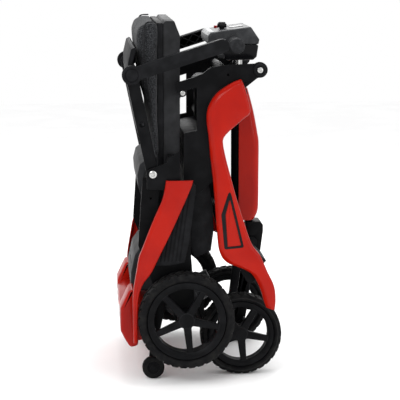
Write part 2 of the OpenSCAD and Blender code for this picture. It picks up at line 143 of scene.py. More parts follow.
def floor():
    size, level = 6.0, -0.0004
    mesh = bpy.data.meshes.new("floor")
    corners = [(-size, -size), (size, -size), (size, size), (-size, size)]
    mesh.from_pydata([(x, y, level) for x, y in corners], [], [(0, 1, 2, 3)])
    obj = bpy.data.objects.new("floor", mesh)
    bpy.context.scene.collection.objects.link(obj)
    mat = Material("floor", (0.96, 0.96, 0.962), 0.8)
    mat.speckle(3.0, 0.012)
    obj.data.materials.append(mat.done())


# ---- materials ----

class Material:
    """A procedural material: each method adds one kind of detail to a principled shader."""

    def __init__(self, name, colour, rough, metal=0.0, coat=0.0, sheen=0.0, gloss=0.06):
        self.mat = bpy.data.materials.new(name)
        self.mat.use_nodes = True
        self.tree = self.mat.node_tree
        self.shader = self.tree.nodes["Principled BSDF"]
        self.base = colour
        self.rough = rough
        self.put("Base Color", (*colour, 1.0))
        self.put("Roughness", rough)
        self.put("Metallic", metal)
        self.put("Specular IOR Level", gloss)
        self.put("Coat Weight", coat)
        self.put("Coat Roughness", 0.12)
        if sheen:
            self.put("Sheen Weight", sheen)
            self.put("Sheen Roughness", 0.45)
        self.coords = self.node("ShaderNodeTexCoord").outputs["Object"]
        self.height = None
        self.colour_out = None

    def put(self, socket, value):
        self.shader.inputs[socket].default_value = value

    def node(self, kind, **inputs):
        made = self.tree.nodes.new(kind)
        for key, value in inputs.items():
            made.inputs[key].default_value = value
        return made

    def link(self, a, b):
        self.tree.links.new(a, b)

    def noise(self, scale, detail=3.0, stretch=None):
        tex = self.node("ShaderNodeTexNoise", Scale=scale, Detail=detail, Roughness=0.55)
        source = self.coords
        if stretch:
            mapping = self.node("ShaderNodeMapping", Scale=stretch)
            self.link(source, mapping.inputs["Vector"])
            source = mapping.outputs["Vector"]
        self.link(source, tex.inputs["Vector"])
        return tex.outputs["Fac"]

    def ramp(self, source, low, high, out_low, out_high):
        node = self.node("ShaderNodeMapRange")
        for key, value in zip(("From Min", "From Max", "To Min", "To Max"),
                              (low, high, out_low, out_high)):
            node.inputs[key].default_value = value
        self.link(source, node.inputs["Value"])
        return node.outputs["Result"]

    def mix(self, factor, colour, under=None):
        node = self.tree.nodes.new("ShaderNodeMix")
        node.data_type = "RGBA"
        amount, first, second = node.inputs[0], node.inputs[6], node.inputs[7]
        self.link(factor, amount)
        if under is None:
            first.default_value = (*self.base, 1.0)
        else:
            self.link(under, first)
        second.default_value = (*colour, 1.0)
        return node.outputs[2]

    def speckle(self, scale, amount, colour=None):
        """Colour variation: patches of a slightly different shade."""
        other = colour or tuple(min(1.0, c * 1.6 + amount) for c in self.base)
        factor = self.ramp(self.noise(scale), 0.42, 0.68, 0.0, 1.0)
        self.colour_out = self.mix(factor, other, self.colour_out)
        return self

    def worn_roughness(self, scale, spread):
        source = self.ramp(self.noise(scale, 5.0), 0.3, 0.7, self.rough - spread,
                           self.rough + spread)
        self.link(source, self.shader.inputs["Roughness"])
        return self

    def worn_edges(self, colour, amount=0.6, radius=0.0012):
        """Lighter rubbed edges, found by comparing the rounded and the true normal."""
        bevel = self.tree.nodes.new("ShaderNodeBevel")
        bevel.samples = 4
        bevel.inputs["Radius"].default_value = radius
        geometry = self.tree.nodes.new("ShaderNodeNewGeometry")
        dot = self.tree.nodes.new("ShaderNodeVectorMath")
        dot.operation = "DOT_PRODUCT"
        self.link(bevel.outputs["Normal"], dot.inputs[0])
        self.link(geometry.outputs["Normal"], dot.inputs[1])
        factor = self.ramp(dot.outputs["Value"], 0.995, 0.90, 0.0, amount)
        self.colour_out = self.mix(factor, colour, self.colour_out)
        return self

    def grain(self, scale, depth, detail=2.0, stretch=None):
        """Surface relief from noise, depth in metres."""
        self.add_height(self.noise(scale, detail, stretch), depth)
        return self

    def weave(self, thread, depth):
        """Crossed threads, thread in metres, drawn in all three planes."""
        total = None
        for axis in range(3):
            wave = self.tree.nodes.new("ShaderNodeTexWave")
            wave.bands_direction = "XYZ"[axis]
            wave.inputs["Scale"].default_value = 1.0 / thread / 20.0 * math.pi
            wave.inputs["Distortion"].default_value = 1.2
            wave.inputs["Detail"].default_value = 1.0
            self.link(self.coords, wave.inputs["Vector"])
            if total is None:
                total = wave.outputs["Fac"]
            else:
                add = self.tree.nodes.new("ShaderNodeMath")
                add.operation = "ADD"
                self.link(total, add.inputs[0])
                self.link(wave.outputs["Fac"], add.inputs[1])
                total = add.outputs["Value"]
        self.add_height(total, depth)
        return self

    def add_height(self, source, depth):
        scaled = self.tree.nodes.new("ShaderNodeMath")
        scaled.operation = "MULTIPLY"
        self.link(source, scaled.inputs[0])
        scaled.inputs[1].default_value = depth
        if self.height is None:
            self.height = scaled.outputs["Value"]
            return
        add = self.tree.nodes.new("ShaderNodeMath")
        add.operation = "ADD"
        self.link(self.height, add.inputs[0])
        self.link(scaled.outputs["Value"], add.inputs[1])
        self.height = add.outputs["Value"]

    def done(self, soft_edge=0.0):
        """Joins up colour, relief and edge rounding, and returns the material."""
        if self.colour_out is not None:
            self.link(self.colour_out, self.shader.inputs["Base Color"])
        normal = None
        if soft_edge:
            bevel = self.tree.nodes.new("ShaderNodeBevel")
            bevel.samples = 4
            bevel.inputs["Radius"].default_value = soft_edge
            normal = bevel.outputs["Normal"]
        if self.height is not None:
            bump = self.tree.nodes.new("ShaderNodeBump")
            bump.inputs["Distance"].default_value = 1.0
            bump.inputs["Strength"].default_value = 1.0
            self.link(self.height, bump.inputs["Height"])
            if normal is not None:
                self.link(normal, bump.inputs["Normal"])
            normal = bump.outputs["Normal"]
        if normal is not None:
            self.link(normal, self.shader.inputs["Normal"])
        return self.mat


RED = (0.355, 0.0072, 0.0016)
DEEP_RED = (0.27, 0.0045, 0.002)
INK = (0.0030, 0.0031, 0.0036)
CHARCOAL = (0.0060, 0.0062, 0.0070)
SLATE = (0.0155, 0.0158, 0.0170)
STEEL = (0.42, 0.42, 0.41)


def make_materials():
    m = {}
    red = Material("red_paint", RED, 0.36, coat=0.16)
    red.speckle(9.0, 0.0, DEEP_RED).worn_roughness(40.0, 0.05).grain(1100.0, 0.00002)
    m["red_cover"] = red.done(0.0015)
    frame_paint = Material("frame_paint", INK, 0.42)
    frame_paint.speckle(30.0, 0.001).worn_roughness(60.0, 0.08)
    frame_paint.worn_edges((0.022, 0.022, 0.023), 0.5).grain(900.0, 0.00004)
    m["frame_paint"] = frame_paint.done(0.0012)
    black = Material("black_plastic", CHARCOAL, 0.52)
    black.speckle(45.0, 0.001).worn_roughness(50.0, 0.07).grain(1400.0, 0.00005)
    m["black_plastic"] = black.done(0.0012)
    grey = Material("grey_plastic", SLATE, 0.47)
    grey.speckle(25.0, 0.002).worn_roughness(35.0, 0.07).grain(1300.0, 0.00004)
    m["grey_plastic"] = grey.done(0.0012)
    alloy = Material("machined_alloy", (0.035, 0.036, 0.038), 0.42, metal=0.6)
    alloy.speckle(60.0, 0.004).worn_roughness(90.0, 0.1).grain(500.0, 0.00006)
    m["machined_alloy"] = alloy.done(0.001)
    steel = Material("steel_bolt", STEEL, 0.26, metal=1.0)
    steel.speckle(120.0, 0.02).worn_roughness(150.0, 0.08)
    steel.grain(700.0, 0.00002, stretch=(1.0, 6.0, 1.0))
    m["steel_bolt"] = steel.done(0.0005)
    tyre = Material("tyre_rubber", (0.0048, 0.0048, 0.0054), 0.6)
    tyre.speckle(70.0, 0.002, (0.011, 0.0108, 0.0105)).worn_roughness(80.0, 0.1)
    tyre.worn_edges((0.05, 0.05, 0.049), 0.6, 0.001).grain(1600.0, 0.00008)
    m["tyre_rubber"] = tyre.done()
    rim = Material("wheel_rim", INK, 0.40)
    rim.speckle(40.0, 0.001).worn_roughness(60.0, 0.07)
    rim.worn_edges((0.03, 0.03, 0.032), 0.5).grain(1200.0, 0.00003)
    m["wheel_rim"] = rim.done(0.001)
    fabric = Material("seat_fabric", (0.011, 0.0116, 0.013), 0.95, sheen=0.1, gloss=0.1)
    fabric.speckle(14.0, 0.0, (0.008, 0.0085, 0.0095))
    fabric.speckle(480.0, 0.03, (0.062, 0.064, 0.069))
    fabric.weave(0.0016, 0.00022).grain(900.0, 0.00025)
    m["seat_fabric"] = fabric.done()
    grip = Material("grip_rubber", (0.016, 0.0165, 0.018), 0.62)
    grip.speckle(90.0, 0.003).worn_roughness(70.0, 0.08).grain(1500.0, 0.00009)
    m["grip_rubber"] = grip.done(0.0008)
    horn = Material("horn_red", (0.30, 0.012, 0.01), 0.25, coat=0.4)
    horn.speckle(60.0, 0.0, (0.2, 0.008, 0.007)).worn_roughness(90.0, 0.05)
    m["horn_red"] = horn.done(0.0006)
    piping = Material("piping", (0.009, 0.0092, 0.0104), 0.7, sheen=0.1)
    piping.speckle(300.0, 0.01).weave(0.0012, 0.0001)
    m["piping"] = piping.done()
    gloss = Material("gloss_black", (0.004, 0.004, 0.0048), 0.2, coat=0.15)
    gloss.speckle(35.0, 0.001).worn_roughness(60.0, 0.04)
    m["gloss_black"] = gloss.done(0.0008)
    silver = Material("silver_plastic", (0.2, 0.205, 0.21), 0.34, metal=0.35)
    silver.speckle(50.0, 0.03).worn_roughness(60.0, 0.06).grain(1500.0, 0.00002)
    m["silver_plastic"] = silver.done(0.001)
    lamp = Material("lamp_lens", (0.42, 0.43, 0.44), 0.12, coat=0.2, gloss=0.4)
    lamp.speckle(80.0, 0.0, (0.6, 0.61, 0.63)).grain(400.0, 0.0001)
    m["lamp_lens"] = lamp.done(0.0006)
    dark_silver = Material("silver_dark", (0.03, 0.031, 0.033), 0.36, metal=0.2)
    dark_silver.speckle(40.0, 0.004).worn_roughness(50.0, 0.07).grain(1300.0, 0.00003)
    m["silver_dark"] = dark_silver.done(0.001)
    return m


# ---- outlines ----

def fillet(points, radius, steps=5):
    """A closed outline with every corner rounded by an arc of the radius, where it fits."""
    pts = [np.array(p, float) for p in points]
    out = []
    for i, p in enumerate(pts):
        a, b = pts[i - 1] - p, pts[(i + 1) % len(pts)] - p
        la, lb = np.linalg.norm(a), np.linalg.norm(b)
        a, b = a / la, b / lb
        half = math.acos(max(-1.0, min(1.0, float(a @ b)))) / 2
        if half > math.radians(86):
            out.append(p)
            continue
        reach = min(radius / math.tan(half), 0.45 * la, 0.45 * lb)
        p0, p1 = p + a * reach, p + b * reach
        for k in range(steps + 1):
            t = k / steps
            out.append((1 - t) ** 2 * p0 + 2 * t * (1 - t) * p + t * t * p1)
    return [tuple(p) for p in out]


def resample(points, count):
    """A smooth curve through the points, as a given count of evenly spaced points."""
    pts = np.array(points, float)
    padded = np.vstack([2 * pts[0] - pts[1], pts, 2 * pts[-1] - pts[-2]])
    dense = []
    for i in range(len(pts) - 1):
        p0, p1, p2, p3 = padded[i:i + 4]
        for t in np.linspace(0, 1, 16, endpoint=False):
            dense.append(0.5 * (2 * p1 + (p2 - p0) * t + (2 * p0 - 5 * p1 + 4 * p2 - p3) * t * t
                                + (3 * p1 - p0 - 3 * p2 + p3) * t ** 3))
    dense.append(pts[-1])
    dense = np.array(dense)
    run = np.concatenate([[0], np.cumsum(np.linalg.norm(np.diff(dense, axis=0), axis=1))])
    at = np.linspace(0, run[-1], count)
    return np.stack([np.interp(at, run, dense[:, k]) for k in range(dense.shape[1])], axis=1)


def circle(centre, radius, count):
    return [(centre[0] + radius * math.cos(2 * math.pi * i / count),
             centre[1] + radius * math.sin(2 * math.pi * i / count))
            for i in range(count)]


def area(points):
    x, z = np.array(points).T
    return 0.5 * float(np.dot(x, np.roll(z, -1)) - np.dot(z, np.roll(x, -1)))


def inset(points, depth):
    """The outline moved inwards by depth along its own normals."""
    pts = np.array(points, float)
    turn = 1.0 if area(points) > 0 else -1.0
    before, after = pts - np.roll(pts, 1, 0), np.roll(pts, -1, 0) - pts
    before /= np.maximum(np.linalg.norm(before, axis=1), 1e-9)[:, None]
    after /= np.maximum(np.linalg.norm(after, axis=1), 1e-9)[:, None]
    normal = np.stack([-(before + after)[:, 1], (before + after)[:, 0]], axis=1) * turn
    normal /= np.maximum(np.linalg.norm(normal, axis=1), 1e-9)[:, None]
    return pts + normal * depth


# ---- meshes ----

def finish_mesh(name, bm, mat, body, replaced=(), sharp=35.0):
    """Turns a bmesh into a piece that rides on a body."""
    bmesh.ops.remove_doubles(bm, verts=bm.verts, dist=1e-6)
    bmesh.ops.recalc_face_normals(bm, faces=bm.faces)
    mesh = bpy.data.meshes.new(name)
    bm.to_mesh(mesh)
    bm.free()
    obj = bpy.data.objects.new(name, mesh)
    bpy.context.scene.collection.objects.link(obj)
    dress(obj, mat, body, replaced, sharp)
    return obj


def dress(obj, mat, body, replaced=(), sharp=35.0):
    obj.data.materials.clear()
    obj.data.materials.append(mats[mat])
    obj.data.polygons.foreach_set("use_smooth", [True] * len(obj.data.polygons))
    obj.data.set_sharp_from_angle(angle=math.radians(sharp))
    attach(obj, body)
    if replaced:
        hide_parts(*replaced)


def loft(bm, rings):
    """A closed solid through rings of equal length, each a closed loop of points."""
    made = [[bm.verts.new(p) for p in ring] for ring in rings]
    for a, b in zip(made, made[1:]):
        for i in range(len(a)):
            j = (i + 1) % len(a)
            bm.faces.new((a[i], a[j], b[j], b[i]))
    bm.faces.new(list(reversed(made[0])))
    bm.faces.new(made[-1])


def rounded_slab(bm, outline, y0, y1, edge, steps=4):
    """An outline in millimetres made solid from y0 to y1, with its rims rounded by edge."""
    low = [(y0 + edge * (1 - math.cos(math.pi / 2 * k / steps)),
            edge * (1 - math.sin(math.pi / 2 * k / steps))) for k in range(steps + 1)]
    high = [(y0 + y1 - y, d) for y, d in reversed(low)]
    loops = []
    for y, d in low + high:
        loops.append([(p[0] * MM, y * MM, p[1] * MM) for p in inset(outline, d)])
    loft(bm, loops)


def slab_piece(name, outline, y0, y1, edge, mat, body, corner=0.0, replaced=(), sharp=35.0):
    bm = bmesh.new()
    shape = fillet(outline, corner) if corner else outline
    rounded_slab(bm, shape, y0, y1, edge)
    return finish_mesh(name, bm, mat, body, replaced, sharp)


def revolve(bm, profile, centre, count, sign):
    """A solid of revolution about the Y line through centre. profile is (radius, y) in mm."""
    rings = []
    for i in range(count):
        a = 2 * math.pi * i / count
        rings.append([((centre[0] + r * math.cos(a)) * MM, sign * y * MM,
                       (centre[1] + r * math.sin(a)) * MM) for r, y in profile])
    made = [[bm.verts.new(p) for p in ring] for ring in rings]
    for i in range(count):
        a, b = made[i], made[(i + 1) % count]
        for k in range(len(profile) - 1):
            bm.faces.new((a[k], a[k + 1], b[k + 1], b[k]))
    for k in (0, len(profile) - 1):
        if profile[k][0] > 1e-6:
            bm.faces.new([ring[k] for ring in made])


def revolve_z(bm, profile, centre, count=48):
    """The same about a vertical line. profile is (radius, z), centre is (x, y), in mm."""
    made = []
    for i in range(count):
        a = 2 * math.pi * i / count
        made.append([bm.verts.new(((centre[0] + r * math.cos(a)) * MM,
                                   (centre[1] + r * math.sin(a)) * MM, z * MM))
                     for r, z in profile])
    for i in range(count):
        a, b = made[i], made[(i + 1) % count]
        for k in range(len(profile) - 1):
            bm.faces.new((a[k], a[k + 1], b[k + 1], b[k]))
    for k in (0, len(profile) - 1):
        bm.faces.new([ring[k] for ring in made])


def ring_solid(bm, profile, centre, count, sign):
    """A closed ring: the profile is itself a closed loop of (radius, y)."""
    made = []
    for i in range(count):
        a = 2 * math.pi * i / count
        made.append([bm.verts.new(((centre[0] + r * math.cos(a)) * MM, sign * y * MM,
                                   (centre[1] + r * math.sin(a)) * MM)) for r, y in profile])
    for i in range(count):
        a, b = made[i], made[(i + 1) % count]
        for k in range(len(profile)):
            m = (k + 1) % len(profile)
            bm.faces.new((a[k], a[m], b[m], b[k]))


def cut_plate(name, outlines, y0, y1, edge):
    """A flat plate with holes, its rims rounded: the first outline is the outside."""
    curve = bpy.data.curves.new(name, "CURVE")
    curve.dimensions = "2D"
    curve.fill_mode = "BOTH"
    for points in outlines:
        spline = curve.splines.new("POLY")
        spline.points.add(len(points) - 1)
        for p, (x, z) in zip(spline.points, points):
            p.co = (x * MM, z * MM, 0, 1)
        spline.use_cyclic_u = True
    curve.extrude = (y1 - y0) / 2 * MM - edge * MM
    curve.bevel_depth = edge * MM
    curve.bevel_resolution = 2
    curve.offset = -edge * MM
    holder = bpy.data.objects.new(name, curve)
    bpy.context.scene.collection.objects.link(holder)
    bpy.context.view_layer.update()
    mesh = bpy.data.meshes.new_from_object(holder.evaluated_get(
        bpy.context.evaluated_depsgraph_get()))
    bpy.data.objects.remove(holder)
    bm = bmesh.new()
    bm.from_mesh(mesh)
    bpy.data.meshes.remove(mesh)
    middle = (y0 + y1) / 2 * MM
    for v in bm.verts:
        x, z, depth = v.co
        v.co = (x, middle - depth, z)
    bmesh.ops.remove_doubles(bm, verts=bm.verts, dist=2e-6)
    return bm


def mirror_if_right(bm, sign):
    if sign < 0:
        for v in bm.verts:
            v.co.y = -v.co.y
        bmesh.ops.reverse_faces(bm, faces=bm.faces)


def ribbon(bm, left, right, section, rows=110):
    """A closed cover between two side-view edges.

    section lists (where, mm, y): where is 'L' or 'R' for a distance from that edge, or 'M'
    for a share of the width in percent; y is the height of the surface, in mm.
    """
    a, b = resample(left, rows), resample(right, rows)
    rings = []
    for p, q in zip(a, b):
        width = max(np.linalg.norm(q - p), 1e-6)
        ring = []
        for where, mm, y in section:
            if where == "L":
                s = min(mm / width, 0.49)
            elif where == "R":
                s = 1 - min(mm / width, 0.49)
            else:
                s = mm / 100.0
            x, z = p + (q - p) * s
            ring.append((x * MM, y * MM, z * MM))
        rings.append(ring)
    loft(bm, rings)


def subtract(obj, cutter):
    """Cuts the cutter's solid out of a piece."""
    mod = obj.modifiers.new("cut", "BOOLEAN")
    mod.object = cutter
    mod.solver = "EXACT"
    bpy.context.view_layer.update()
    mesh = bpy.data.meshes.new_from_object(obj.evaluated_get(
        bpy.context.evaluated_depsgraph_get()))
    obj.modifiers.clear()
    old = obj.data
    obj.data = mesh
    bpy.data.meshes.remove(old)
    bpy.data.objects.remove(cutter)


def loose_object(name, bm):
    mesh = bpy.data.meshes.new(name)
    bmesh.ops.recalc_face_normals(bm, faces=bm.faces)
    bm.to_mesh(mesh)
    bm.free()
    obj = bpy.data.objects.new(name, mesh)
    bpy.context.scene.collection.objects.link(obj)
    return obj


# ---- red covers ----

ARM_LEFT = [(87, 663), (71, 657), (52, 646), (36, 634), (23, 617), (15, 598), (13, 574),
            (17, 541), (21, 496), (26, 452), (30, 408), (34, 352), (38, 306), (41, 288),
            (48, 272), (62, 260), (80, 253), (97, 246), (113, 235), (125, 216), (134, 194),
            (139, 176), (144, 161)]
ARM_RIGHT = [(88, 662), (95, 645), (101, 624), (107, 593), (93, 579), (77, 565), (61, 551),
             (50, 538), (48, 525), (54, 494), (65, 452), (75, 414), (85, 381), (95, 350),
             (104, 322), (114, 299), (130, 278), (138, 261), (147, 240), (157, 220),
             (163, 202), (165, 176), (163, 155)]
BADGE = [(62.5, 428), (44, 370), (51, 293), (94, 297)]
BADGE_HOLE = [(62.5, 406), (53, 370), (58, 298.5), (88, 301)]


def front_covers():
    inner, outer = 190.0, 210.0
    section = [("L", 0.0, inner), ("L", 0.0, outer - 8), ("L", 1.2, outer - 5.5),
               ("L", 9.0, outer - 1.2), ("L", 10.5, outer - 0.5), ("L", 13.0, outer),
               ("M", 50.0, outer), ("R", 8.0, outer - 0.3), ("R", 4.0, outer - 1.2),
               ("R", 1.2, outer - 3.5), ("R", 0.0, outer - 7), ("R", 0.0, inner),
               ("R", 3.0, inner), ("R", 3.4, outer - 7), ("M", 50.0, outer - 4),
               ("L", 4.0, outer - 9), ("L", 3.0, inner)]
    for side, sign in SIDES:
        bm = bmesh.new()
        ribbon(bm, ARM_LEFT, ARM_RIGHT, section)
        mirror_if_right(bm, sign)
        cover = loose_object("front_cover_skin_" + side, bm)
        bm = bmesh.new()
        rounded_slab(bm, fillet(BADGE, 5), outer - 2.2, outer + 6, 0.3)
        mirror_if_right(bm, sign)
        subtract(cover, loose_object("badge_cutter_" + side, bm))
        dress(cover, "red_cover", "front_frame", ("front_cover_" + side,), 40)
        hole = fillet(BADGE_HOLE, 2)
        bm = cut_plate("badge_" + side, [fillet(BADGE, 5), hole], outer - 2.2, outer - 0.2, 0.6)
        mirror_if_right(bm, sign)
        finish_mesh("badge_frame_" + side, bm, "gloss_black", "front_frame",
                    ("badge_frames",), 40)
        bm = bmesh.new()
        rounded_slab(bm, [tuple(p) for p in inset(hole, 0.8)], outer - 3.2, outer - 0.9, 0.5)
        mirror_if_right(bm, sign)
        finish_mesh("badge_panel_" + side, bm, "red_cover", "front_frame", (), 40)


FENDER_RIGHT = [(-19, 450), (-24, 433), (-43, 389), (-67, 336), (-90, 289), (-110, 249),
                (-125, 229), (-133, 212), (-138, 190), (-140, 146), (-141, 95)]
FENDER_LEFT = [(-77, 450), (-84, 411), (-98, 378), (-112, 345), (-129, 301), (-136, 283),
               (-142, 250), (-148, 215), (-150, 190), (-150, 146), (-149, 94)]


def rear_fenders():
    inner, outer = 233.0, 241.0
    section = [("L", 0.0, inner - 8), ("L", 0.0, outer - 5), ("L", 0.8, outer - 2.6),
               ("L", 2.6, outer - 0.8), ("L", 5.0, outer), ("L", 9.0, outer + 0.6),
               ("L", 12.0, outer), ("M", 50.0, outer - 0.4), ("R", 4.0, outer - 0.8),
               ("R", 1.6, outer - 1.8), ("R", 0.0, outer - 4), ("R", 0.0, inner),
               ("R", 2.4, inner), ("M", 50.0, outer - 4), ("L", 3.0, outer - 5),
               ("L", 2.6, inner - 8)]
    for side, sign in SIDES:
        bm = bmesh.new()
        ribbon(bm, FENDER_LEFT, FENDER_RIGHT, section, 90)
        mirror_if_right(bm, sign)
        finish_mesh("fender_skin_" + side, bm, "red_cover", "rear_frame",
                    ("rear_fender_" + side,), 50)


def column_cover():
    """The red front of the tiller: a rounded channel whose depth follows the outline."""
    back, half = 99.0, 32.0
    front = resample([(134, 326), (139, 333), (144.5, 347), (146, 372), (146, 440), (146, 502),
                      (143, 525), (134, 573), (124, 612), (119, 629)], 70)
    rings = []
    for x, z in front:
        r = 15.0
        ring = [(back, -half)]
        for k in range(9):
            a = math.pi / 2 * k / 8
            ring.append((x - r + r * math.sin(a), -half + r - r * math.cos(a)))
        for k in range(9):
            a = math.pi / 2 * k / 8
            ring.append((x - r + r * math.cos(a), half - r + r * math.sin(a)))
        ring.append((back, half))
        wall = 2.6
        inner = [(back, half - wall)] + [
            (x - r + (r - wall) * math.sin(math.pi / 2 * k / 8),
             half - r + (r - wall) * math.cos(math.pi / 2 * k / 8)) for k in range(9)]
        inner += [(x - r + (r - wall) * math.cos(math.pi / 2 * k / 8),
                   -half + r - (r - wall) * math.sin(math.pi / 2 * k / 8)) for k in range(9)]
        inner.append((back, -half + wall))
        rings.append([(px * MM, py * MM, z * MM) for px, py in ring + inner])
    bm = bmesh.new()
    loft(bm, rings)
    finish_mesh("column_cover_skin", bm, "red_cover", "column",
                ("column_cover",), 50)
    slab_piece("column_cover_top", [(113, 616), (119, 616), (116, 628), (113, 628)], -29.2, 29.2,
               1.0, "black_plastic", "column")


REAR_CORNER = [(-176, 110), (-176, 160), (-157, 200), (-147, 203), (-142, 170), (-137, 110),
               (-137, 76), (-155, 72), (-166, 90)]
REAR_COVER = [(-176, 118), (-176, 150), (-160, 162), (-128, 162), (-92, 150), (-92, 104),
              (-110, 82), (-156, 74), (-168, 92)]


def rear_cover():
    slab_piece("rear_cover_skin", REAR_COVER, -156, 156, 9, "red_cover", "rear_frame",
               corner=12, replaced=("rear_cover",))
    for side, sign in SIDES:
        ys = sorted((sign * 114, sign * 192))
        slab_piece("rear_corner_" + side, REAR_CORNER, ys[0], ys[1], 7, "red_cover",
                   "rear_frame", corner=10)
        ys = sorted((sign * 66, sign * 104))
        slab_piece("rear_lamp_" + side, [(-176.6, 124), (-176.6, 144), (-172, 146), (-172, 122)],
                   ys[0], ys[1], 1.2, "lamp_lens", "rear_frame", corner=1.2)


# ---- wheels ----

def tread_height(angle, y, lugs, half):
    """1 on a chevron lug and 0 in a groove, one of which zigzags round the middle."""
    zig = abs(y) / half
    phase = (angle / (2 * math.pi) * lugs + 0.55 * zig) % 1.0
    lug = 1.0 if 0.18 < phase < 0.86 else 0.0
    if zig < 0.12 + 0.05 * math.sin(angle * lugs):
        lug = 0.0
    return lug


def tyre(name, side, sign, centre, y0, width, radius, rim_r, lugs, body, cad):
    """A tyre whose tread blocks are real geometry, not relief."""
    half = width / 2
    rise = 2.2
    shoulder = 5.0
    count = lugs * 12
    cols = []
    for k in range(23):
        y = -half + shoulder * 0.6 + (width - shoulder * 1.2) * k / 22
        crown = 1.4 * (y / half) ** 2
        cols.append((radius - rise - crown, y))
    left = [(rim_r, -half + 5), (rim_r + 3, -half + 1.2), (rim_r + 7, -half), (radius - 9, -half),
            (radius - 5, -half + 0.8)]
    right = [(r, -y) for r, y in reversed(left)]
    made = []
    bm = bmesh.new()
    for i in range(count):
        a = 2 * math.pi * i / count
        tread = [(r + rise * tread_height(a, y, lugs, half), y) for r, y in cols]
        ring = left + tread + right
        made.append([bm.verts.new(((centre[0] + r * math.cos(a)) * MM,
                                   sign * (y0 + half + y) * MM,
                                   (centre[1] + r * math.sin(a)) * MM)) for r, y in ring])
    n = len(made[0])
    for i in range(count):
        a, b = made[i], made[(i + 1) % count]
        for k in range(n):
            m = (k + 1) % n
            bm.faces.new((a[k], a[m], b[m], b[k]))
    finish_mesh(name + side, bm, "tyre_rubber", body + side, (cad + side,), 40)


def rim(name, side, sign, centre, y0, width, rim_r, open_r, hub_r, body, cad):
    """A five-spoke rim: a deep barrel, a spoked face with rounded openings, and a hub."""
    face_out = y0 + width - 9
    face_in = face_out - 11
    spokes = 5
    first = math.radians(-84)
    spoke = 13.0
    loops = [circle(centre, open_r + 4, 120)]
    for i in range(spokes):
        a0 = first + 2 * math.pi * i / spokes
        a1 = a0 + 2 * math.pi / spokes
        root = spoke / 2 / math.sin(math.pi / spokes) + 4
        points = [(centre[0] + root * math.cos((a0 + a1) / 2),
                   centre[1] + root * math.sin((a0 + a1) / 2))]
        lean = math.asin(spoke / 2 / open_r)
        for k in range(13):
            a = a0 + lean + (a1 - a0 - 2 * lean) * k / 12
            points.append((centre[0] + open_r * math.cos(a), centre[1] + open_r * math.sin(a)))
        loops.append(fillet(points, 5, 4))
    bm = cut_plate(name, loops, face_in, face_out, 1.6)
    mirror_if_right(bm, sign)
    barrel = [(open_r, y0 + 6), (open_r + 1.5, y0 + 5), (rim_r - 4, y0 + 5), (rim_r, y0 + 7),
              (rim_r, y0 + width - 7), (rim_r - 3, y0 + width - 4.5),
              (rim_r - 8, y0 + width - 5), (open_r + 3, y0 + width - 7.5),
              (open_r, y0 + width - 10)]
    ring_solid(bm, barrel, centre, 120, sign)
    hub = [(0, y0 + 3), (hub_r, y0 + 3), (hub_r, face_out - 6), (hub_r - 1.5, face_out - 1.5),
           (hub_r - 3, face_out + 0.6), (hub_r - 7, face_out + 1.2), (0, face_out + 1.2)]
    revolve(bm, hub, centre, 48, sign)
    finish_mesh(name + side, bm, "wheel_rim", body + side, (cad + side,), 35)


def disc(node):
    """Middle (x, z), inner distance, width and radius of a wheel's node, in millimetres."""
    lo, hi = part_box(node)
    middle = ((lo.x + hi.x) / 2 / MM, (lo.z + hi.z) / 2 / MM)
    near, far = sorted((abs(lo.y) / MM, abs(hi.y) / MM))
    return middle, near, far - near, (hi.z - lo.z) / 2 / MM


def wheels():
    for side, sign in SIDES:
        for end, lugs, open_share, hub in (("rear", 34, 0.81, 19), ("front", 30, 0.805, 17)):
            centre, y0, width, radius = disc(f"{end}_tyre_{side}")
            rim_r = disc(f"{end}_rim_{side}")[3]
            tyre(end + "_tread_", side, sign, centre, y0, width, radius, rim_r, lugs,
                 end + "_wheel_", end + "_tyre_")
            rim(end + "_wheel_face_", side, sign, centre, y0, width, rim_r,
                rim_r * open_share, hub, end + "_wheel_", end + "_rim_")
        caster(side, sign)


def caster(side, sign):
    centre, y0, w, r = CASTER, 168, 22, 24.5
    bm = bmesh.new()
    ring_solid(bm, [(14.5, y0 + 1.5), (r - 4, y0 + 0.5), (r - 1.2, y0 + 2), (r, y0 + 5),
                    (r, y0 + w - 5), (r - 1.2, y0 + w - 2), (r - 4, y0 + w - 0.5),
                    (14.5, y0 + w - 1.5)], centre, 72, sign)
    finish_mesh("caster_tread_" + side, bm, "tyre_rubber", "caster_" + side,
                ("caster_" + side,), 45)
    bm = bmesh.new()
    ring_solid(bm, [(5.1, y0 + 0.5), (13, y0 + 0.5), (14.4, y0 + 3), (14.4, y0 + w - 3),
                    (13, y0 + w - 1.5), (11, y0 + w - 2.5), (9, y0 + w - 3), (5.1, y0 + w - 1)],
               centre, 48, sign)
    finish_mesh("caster_hub_" + side, bm, "wheel_rim", "caster_" + side, (), 45)


# ---- bolts ----

def bolt_head(name, centre, y, r, height, sign, body, replaced=()):
    """A domed head with a hexagon socket, its axis along Y."""
    count = 48
    hexagon = []
    for i in range(count):
        a = 2 * math.pi * i / count
        sector = (a % (math.pi / 3)) - math.pi / 6
        hexagon.append(0.42 * r / math.cos(sector))
    rings = [[r] * count, [r] * count, [0.93 * r] * count, [0.76 * r] * count,
             [0.6 * r] * count, hexagon, [h * 0.98 for h in hexagon]]
    levels = [0, 0.35 * height, 0.72 * height, 0.94 * height, height, height, 0.35 * height]
    loops = []
    for ring, level in zip(rings, levels):
        loops.append([((centre[0] + q * math.cos(2 * math.pi * i / count)) * MM,
                       sign * (y + level) * MM,
                       (centre[1] + q * math.sin(2 * math.pi * i / count)) * MM)
                      for i, q in enumerate(ring)])
    bm = bmesh.new()
    loft(bm, loops)
    finish_mesh(name, bm, "steel_bolt", body, replaced, 30)


